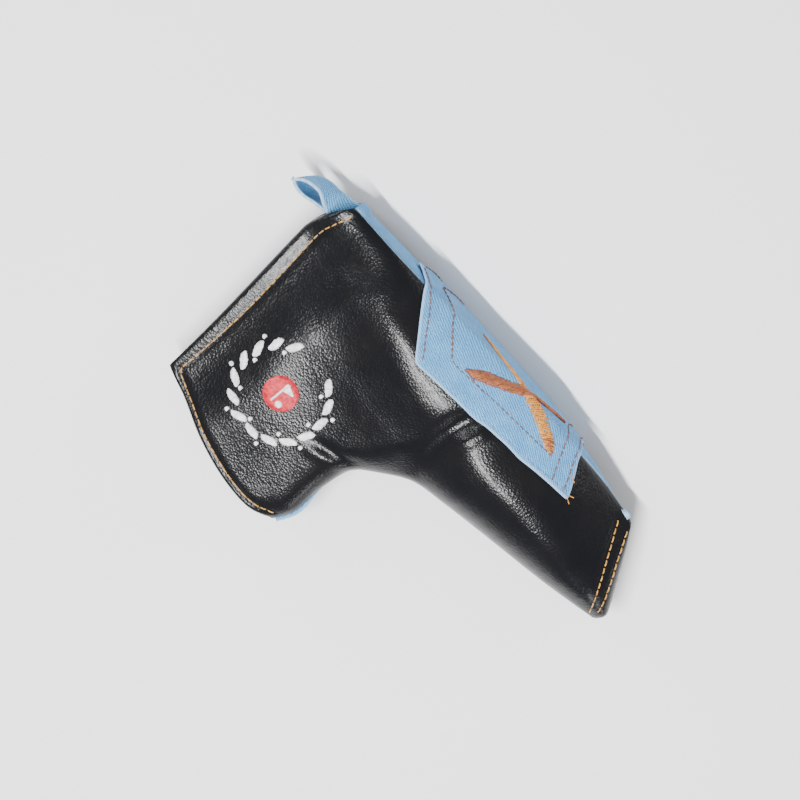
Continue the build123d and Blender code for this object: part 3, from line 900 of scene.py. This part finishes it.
near_wing = HEEL_LINE + LOWER_LINE[1:] + TOE_LINE[1:]
far_wing = [(back, -across) for back, across in near_wing]
corners = far_wing + near_wing[-2:0:-1]
PATCH_OUTLINE = round_corners(corners)
PATCH_CLOSED = np.vstack([PATCH_OUTLINE, PATCH_OUTLINE[:1]])
HEM = 3.2
PATCH_GAP = 0.08


def patch_lift(points, over=0.0):
    """Height of the patch's face over the skin: the hem is doubled, with a groove inside it."""
    edge = line_distance(points, PATCH_CLOSED)
    hem = 0.4 * smooth(HEM + 0.9, HEM - 0.3, edge)
    groove = -0.22 * bump(edge, 1.9, 0.55)
    quilt = 0.18 * soft_noise(points, 11, 4.4)
    rolled_edge = -0.5 * (1 - dome(edge, 1.0, 2.0))
    near = points[:, 1] > 0
    return PATCH_GAP + DENIM + np.where(near, hem + groove + quilt, 0.3 * hem) + rolled_edge + over


patch = skin("pocket_patch_cloth", PATCH_OUTLINE, on_wrap(patch_lift), 1.25, DENIM)
dress(patch, DENIM_MAT)
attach(patch, "root")
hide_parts("pocket_patch")
declare(PATCH_OUTLINE)

ON_PATCH = on_wrap(lambda points: patch_lift(points, 0.02))

# Brown stitching: round the patch's edge, a pocket-shaped line inside it, and a double toe hem
HEEL_SEAM = [(35.0, 2.0), (39.4, 8.8), (47.3, 15.6), (53.6, 22.4), (60.8, 30.2)]
LOWER_SEAM = [(60.8, 30.2), (76, 29.4), (90.5, 28.3), (113.3, 25.6), (136.0, 16.9)]
HEM_OUT = [(124.6, 1.0), (126.2, 7.6), (129.0, 11.6), (131.6, 15.0), (134.0, 18.4)]
HEM_IN = [(117.6, 1.0), (119.6, 8.4), (122.2, 12.4), (124.8, 16.2), (127.8, 20.6)]
POCKET_HEEL = [(45.4, 1.0), (50.5, 7.0), (58.4, 14.2), (68.0, 22.4)]
POCKET_LOW = [(68.0, 22.4), (72.5, 22.6), (81.5, 21.9), (92.5, 21.0), (105, 20.2), (113.5, 18.8),
              (121.5, 16.4)]
brown_seam, tonal_seam = [], []
for side in (1, -1):
    for line, pitch, radius in ((HEEL_SEAM, 2.6, 0.27), (HEM_OUT, 2.6, 0.27), (HEM_IN, 2.6, 0.27),
                                (POCKET_HEEL, 2.4, 0.3), (POCKET_LOW, 2.6, 0.2)):
        run = spline(np.array(line) * (1, side))
        brown_seam += stitch_row(run, ON_PATCH, pitch, 0.8 * pitch, radius)
    tonal_seam += stitch_row(spline(np.array(LOWER_SEAM) * (1, side)), ON_PATCH, 2.6, 2.1, 0.2)

patch_seam = thread_piece("patch_stitches", brown_seam, RUST)
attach(patch_seam, "root")
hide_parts("patch_topstitch")
tonal = thread_piece("patch_edge_stitches", tonal_seam, TONAL)
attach(tonal, "root")


def loose_end(start, turn, length=3.4):
    """Cut thread left at a corner of the patch."""
    start = np.array(start)
    t = np.linspace(0, 1, 7)
    heading = np.array((math.cos(turn), math.sin(turn)))
    places, normals = ON_PATCH(start + heading * (length * t)[:, None])
    lift = (0.15 + 0.9 * t ** 2)[:, None] * M
    return tube(places + normals * lift, normals, 0.2)


tails = thread_piece(
    "loose_thread_ends",
    [loose_end((136.2, 17.6), 0.3, 2.8), loose_end((136.4, 17.0), -0.5, 2.2),
     loose_end((131.6, 13.2), 0.2, 2.6)],
    AMBER,
)
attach(tails, "root")

# ---------------------------------------------------------------- satin cross on the patch

DARK_START, DARK_END = (73.6, 21.2), (117.0, 2.2)
GOLD_START, GOLD_END = (69.0, 4.6), (119.6, 16.0)


def dark_width(t):
    return 2.1 * smooth(-0.02, 0.14, t) * (1 - 0.6 * smooth(0.15, 0.8, t)) * smooth(1.0, 0.9, t)


def gold_width(t):
    return 1.05 * smooth(-0.05, 0.1, t) * (1 + 0.95 * smooth(0.3, 0.9, t)) * smooth(1.06, 0.9, t)


def tip_width(t):
    return 1.9 * smooth(1.0, 0.1, t)


dark = satin(DARK_START, DARK_END, dark_width, ON_PATCH, 0.75, 0.36, 0.26, 0.75, 0.09)
dark += satin(DARK_START, DARK_END, lambda t: 0.55 * dark_width(t), ON_PATCH, 1.6, 0.5, 0.24, 1.0, 0.2)
gold = satin(GOLD_START, GOLD_END, gold_width, ON_PATCH, 0.95, 0.42, 0.26, 0.4, 0.16, True)
tip_from = np.array(GOLD_START) + 0.9 * (np.array(GOLD_END) - GOLD_START)
tip_to = np.array(GOLD_START) + 1.03 * (np.array(GOLD_END) - GOLD_START)
dark += satin(tip_from, tip_to, tip_width, ON_PATCH, 0.6, 0.36, 0.26, 0.55, 0.1)
dark_stroke = thread_piece("cross_dark_satin", dark, BROWN)
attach(dark_stroke, "root")
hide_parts("cross_stroke_dark")
gold_stroke = thread_piece("cross_gold_satin", gold, AMBER)
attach(gold_stroke, "root")
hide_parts("cross_stroke_gold")

# ---------------------------------------------------------------- topstitching in the leather

STITCH_LIFT = 0.04
for side, word in ((1, "near"), (-1, "far")):
    find = on_panel(side, STITCH_LIFT)
    piece = thread_piece(f"opening_stitches_{word}", stitch_row(OPENING_STITCH, find), GOLD)
    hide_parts(f"opening_topstitch_{word}")
    if side > 0:
        bend(piece)
    else:
        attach(piece, "root")
    toe = stitch_row(TOE_STITCH_OUT, find) + stitch_row(TOE_STITCH_IN, find)
    piece = thread_piece(f"toe_stitches_{word}", toe, GOLD)
    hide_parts(f"toe_topstitch_{word}")
    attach(piece, "root")

# ---------------------------------------------------------------- emblem: leaves round a badge

CREST = np.array((36.0, 68.5))
RING = 19.5
LEAVES = 14
LEAF_GAP = math.radians(40)
LEAF_LENGTH, LEAF_WIDTH = 7.4, 3.4
BADGE = 7.2
ON_NEAR = on_panel(1, 0.05)


def half_disc(t):
    """Half width of a round shape of radius 1."""
    return math.sqrt(max(0, 1 - (2 * t - 1) ** 2))


def leaf_width(t):
    return LEAF_WIDTH / 2 * np.sin(math.pi * np.clip(t, 0, 1)) ** 0.8


def turned(angle):
    """Unit vector in (back, up), anticlockwise as seen on the near side."""
    return np.array((-math.cos(angle), math.sin(angle)))


leaves = []
for k in range(LEAVES):
    turn = -math.pi / 2 + LEAF_GAP / 2 + (2 * math.pi - LEAF_GAP) * (k + 0.5) / LEAVES
    lean = math.radians(24 if k < LEAVES / 2 else -24)
    middle = CREST + turned(turn) * RING
    heading = turned(turn + math.pi / 2 + lean) * LEAF_LENGTH / 2
    leaves += satin(middle - heading, middle + heading, leaf_width, ON_NEAR, 0.7, 0.36, 0.24, 0.55, 0.05)
for k in range(LEAVES - 1):
    turn = -math.pi / 2 + LEAF_GAP / 2 + (2 * math.pi - LEAF_GAP) * (k + 1) / LEAVES
    spot = CREST + turned(turn) * (RING + (3.4 if k % 2 else -3.2))
    leaves += satin(spot - (0.9, 0), spot + (0.9, 0), lambda t: 0.9 * half_disc(t),
                    ON_NEAR, 0, 0.36, 0.24, 0.5, 0.02)
wreath = thread_piece("wreath_satin", leaves, WHITE)
bend(wreath)
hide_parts("crest_leaves_flap", "crest_leaves_panel")


def disc_width(t):
    return BADGE * half_disc(t)


badge = satin(CREST - (BADGE, 0), CREST + (BADGE, 0), disc_width, ON_NEAR, 0.0, 0.36, 0.26, 0.4, 0.01)
roundel = thread_piece("roundel_satin", badge, RED)
bend(roundel)
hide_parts("crest_roundel")

ON_BADGE = on_panel(1, 0.5)

# The flag stands with its top towards the sole, as the whole emblem does
POLE_FOOT, POLE_TOP = CREST + (-0.6, 4.6), CREST + (-0.6, -5.2)
flag = satin(POLE_FOOT, POLE_TOP, lambda t: 0.34, ON_BADGE, 0.2, 0.36, 0.22, 0.3, 0.02)
flag += satin(POLE_TOP + (0.5, 1.9), POLE_TOP + (5.0, 1.9), lambda t: 1.9 * (1 - t), ON_BADGE,
              0, 0.34, 0.22, 0.3, 0.03)
BALL = CREST + (2.6, 3.4)
flag += satin(BALL - (1.4, 0), BALL + (1.4, 0), lambda t: 1.4 * half_disc(t), ON_BADGE,
              0, 0.34, 0.22, 0.3, 0.02)
motif = thread_piece("flag_and_ball_satin", flag, WHITE)
bend(motif)

# ---------------------------------------------------------------- hanging loop

LOOP_ROOT = (-3.2, 4.4)
LOOP_TURN = math.radians(12.0)
RIBBON = 11.0
RAKE = 0.42                # the ribbon's near edge reaches further out than its far edge
ROOT_TWIST, TIP_TWIST = math.radians(62), math.radians(18)
LOOP_SHAPE = [(-5.0, -0.62), (0, -0.75), (3.5, -1.9), (7.5, -3.3), (12, -3.9), (16, -3.2), (18.8, -1.4),
              (19.6, 0), (18.8, 1.4), (16, 3.2), (12, 3.9), (7.5, 3.3), (3.5, 1.9), (0, 0.75), (-5.0, 0.62)]


def hanging_loop():
    """Ribbon out from the seam and back, lying in the seam at its root and standing at its tip."""
    path = resample(spline(LOOP_SHAPE, 0.6), 0.6)
    heading = np.array((math.cos(LOOP_TURN), math.sin(LOOP_TURN), 0))
    root = row(*LOOP_ROOT, SEAM_Z) / M
    columns = np.linspace(-1, 1, 15)
    verts = []
    for p, q in path:
        twist = ROOT_TWIST + (TIP_TWIST - ROOT_TWIST) * float(smooth(-1, 9, p))
        width = np.array((math.sin(LOOP_TURN) * math.sin(twist), -math.cos(LOOP_TURN) * math.sin(twist),
                          -math.cos(twist)))
        out = np.cross(heading, width)
        width = width - heading * RAKE * float(smooth(-6, 2, p))
        cup = 0.35 * np.sign(q) * (columns ** 2)
        line = root + heading * p + np.outer(columns * RIBBON / 2, width) + np.outer(q - cup, out)
        verts.append(line * M)
    verts = np.array(verts)
    verts[..., 2] = np.maximum(verts[..., 2], 2 * M)
    along = np.arange(len(path)) * 0.6
    uvs = np.stack(np.broadcast_arrays(along[:, None], (columns * RIBBON / 2)[None]), -1)
    rim = (1 - np.abs(columns))[None] * RIBBON / 2 + 0 * along[:, None]
    loop = grid("loop_ribbon", verts, uvs, rim, DENIM)
    return loop, len(path) * 0.6


ribbon, ribbon_length = hanging_loop()
dress(ribbon, RIBBON_MAT)
# These points run opposite to the ribbon's heading, since back grows towards -X: a fault.
# Nothing below uses them.
step_back, step_up = math.cos(LOOP_TURN), math.sin(LOOP_TURN)
sewn, free = (row(LOOP_ROOT[0] + reach * step_back, LOOP_ROOT[1] + reach * step_up, SEAM_Z)
              for reach in (-2.5, 3.0))
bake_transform(ribbon)
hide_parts("loop_tab")
declare([(0, 0), (ribbon_length, 0), (ribbon_length, RIBBON), (0, RIBBON)])

# ---------------------------------------------------------------- neck strip and closure tapes

STRIP_FOOT = 83.0
STRIP_OUT = 1.5


def neck_strip():
    """Denim caught in the neck's toe-side seam, showing outside it towards the rim."""
    line = resample(NECK, 1.2)
    line = line[line[:, 1] > STRIP_FOOT]
    d = np.gradient(line, axis=0)
    d /= np.linalg.norm(d, axis=1)[:, None]
    out = np.stack([d[:, 1], -d[:, 0]], 1)
    out *= np.sign((out @ (1, 0)))[:, None]
    reach = STRIP_OUT * smooth(STRIP_FOOT, STRIP_FOOT + 12, line[:, 1])
    shares = np.linspace(-1.6, 1, 6)
    verts = np.array([
        row(line[:, 0] + out[:, 0] * reach * share, line[:, 1] + out[:, 1] * reach * share, SEAM_Z + 0.55)
        for share in shares
    ])
    along = np.arange(len(line)) * 1.2
    uvs = np.stack(np.broadcast_arrays(along[None], (shares * STRIP_OUT)[:, None]), -1)
    rim = np.broadcast_to(((1 - shares) * STRIP_OUT)[:, None], verts.shape[:2])
    return grid("neck_strip_cloth", verts, uvs, rim, 1.0)


strip = neck_strip()
dress(strip, DENIM_MAT)
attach(strip, "root")
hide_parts("neck_seam_strip")

TAPE = 1.1
TAPE_WIDTH = 14.0
TAPE_OVER_LINING = 0.15
TAPE_EDGE = [(-0.4, 24), (1.6, 45), (3.6, 70), (4.6, 88)]


def closure_tape(name, side):
    """Tape sewn inside a lip of the closure."""
    inner = spline(TAPE_EDGE)
    outline = round_corners(np.vstack([inner[::-4], inner[::4] + (TAPE_WIDTH, 0)]), 1.2)
    flat, faces = fill(outline, 1.6, (0.4, 1.0))
    z = height(flat, side) - LINING_DEPTH - LINING - TAPE_OVER_LINING
    z = np.maximum(z, SEAM_GAP + TAPE)
    verts = row(flat[:, 0], flat[:, 1], SEAM_Z + side * z)
    inward_normals = np.tile((0, 0, float(side)), (len(flat), 1))
    obj = mesh_object(name, verts, ordered(faces, verts, inward_normals), flat)
    solidify(obj, TAPE)
    return obj, outline


hooks, tape_outline = closure_tape("hook_tape_cloth", 1)
dress(hooks, HOOK_MAT)
bend(hooks)
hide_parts("hook_tape")
declare(tape_outline)
loops, tape_outline = closure_tape("loop_tape_cloth", -1)
dress(loops, LOOP_MAT)
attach(loops, "root")
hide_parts("loop_tape")
declare(tape_outline)


# ---------------------------------------------------------------- stage, light, camera

def stage():
    """Plain pale floor."""
    size = 4.0
    verts = [(-size, -size, 0), (size, -size, 0), (size, size, 0), (-size, size, 0)]
    floor = mesh_object("floor", verts, [(0, 1, 2, 3)])
    mat, tree, shader = material("floor", (0.86, 0.86, 0.86), 0.9, Specular_IOR_Level=0.1)
    floor.data.materials.append(mat)


def area_light(name, place, aim, size, power, colour=(1, 1, 1)):
    """Soft rectangular light."""
    data = bpy.data.lights.new(name, "AREA")
    data.shape = "RECTANGLE"
    data.size, data.size_y = size
    data.energy = power
    data.color = colour
    light = bpy.data.objects.new(name, data)
    bpy.context.collection.objects.link(light)
    light.location = place
    light.rotation_euler = (Vector(aim) - Vector(place)).to_track_quat("-Z", "Y").to_euler()


# The camera looks down on the near side, a little from the sole
CAMERA_REACH = 0.9
TILT_TO_SOLE = math.radians(13.5)
TILT_TO_TOE = math.radians(-3.9)
ROLL = math.radians(50.8)
LENS = 101.0
AIM_RIGHT = 1.2 * M
AIM_UP = 15.4 * M


def camera_axes():
    """Camera's right, up and backward directions."""
    back_x, back_y = -math.sin(TILT_TO_TOE), -math.sin(TILT_TO_SOLE)
    back = Vector((back_x, back_y, math.sqrt(1 - back_x ** 2 - back_y ** 2)))
    right = Vector((-math.cos(ROLL), -math.sin(ROLL), 0))
    right = (right - right.dot(back) * back).normalized()
    return right, back.cross(right), back


def camera():
    right, up, back = camera_axes()
    data = bpy.data.cameras.new("camera")
    data.lens = LENS
    data.sensor_width = 36.0
    obj = bpy.data.objects.new("camera", data)
    bpy.context.collection.objects.link(obj)
    spot = back * CAMERA_REACH + right * AIM_RIGHT + up * AIM_UP
    turn = Matrix((right, up, back)).transposed().to_4x4()
    obj.matrix_world = Matrix.Translation(spot) @ turn
    bpy.context.scene.camera = obj


def world():
    """Even pale surroundings."""
    made = bpy.data.worlds.new("world")
    made.use_nodes = True
    made.node_tree.nodes["Background"].inputs["Color"].default_value = (0.9, 0.93, 1.0, 1)
    made.node_tree.nodes["Background"].inputs["Strength"].default_value = 0.7
    bpy.context.scene.world = made


stage()
camera()
world()
area_light("ridge strip", (0, 0.19, 0.96), (0, 0, 0.02), (0.6, 0.025), 24.0)
area_light("sole side", (-0.2, -0.95, 0.35), (0, 0, 0.02), (0.4, 0.05), 3.0, (1.0, 0.96, 0.92))
area_light("heel side", (0.95, 0.1, 0.45), (0, 0, 0.02), (0.06, 0.5), 3.0, (0.95, 0.97, 1.0))
area_light("toe side", (-1.0, 0.35, 0.3), (0, 0, 0.02), (0.3, 0.1), 2.0, (0.95, 0.97, 1.0))
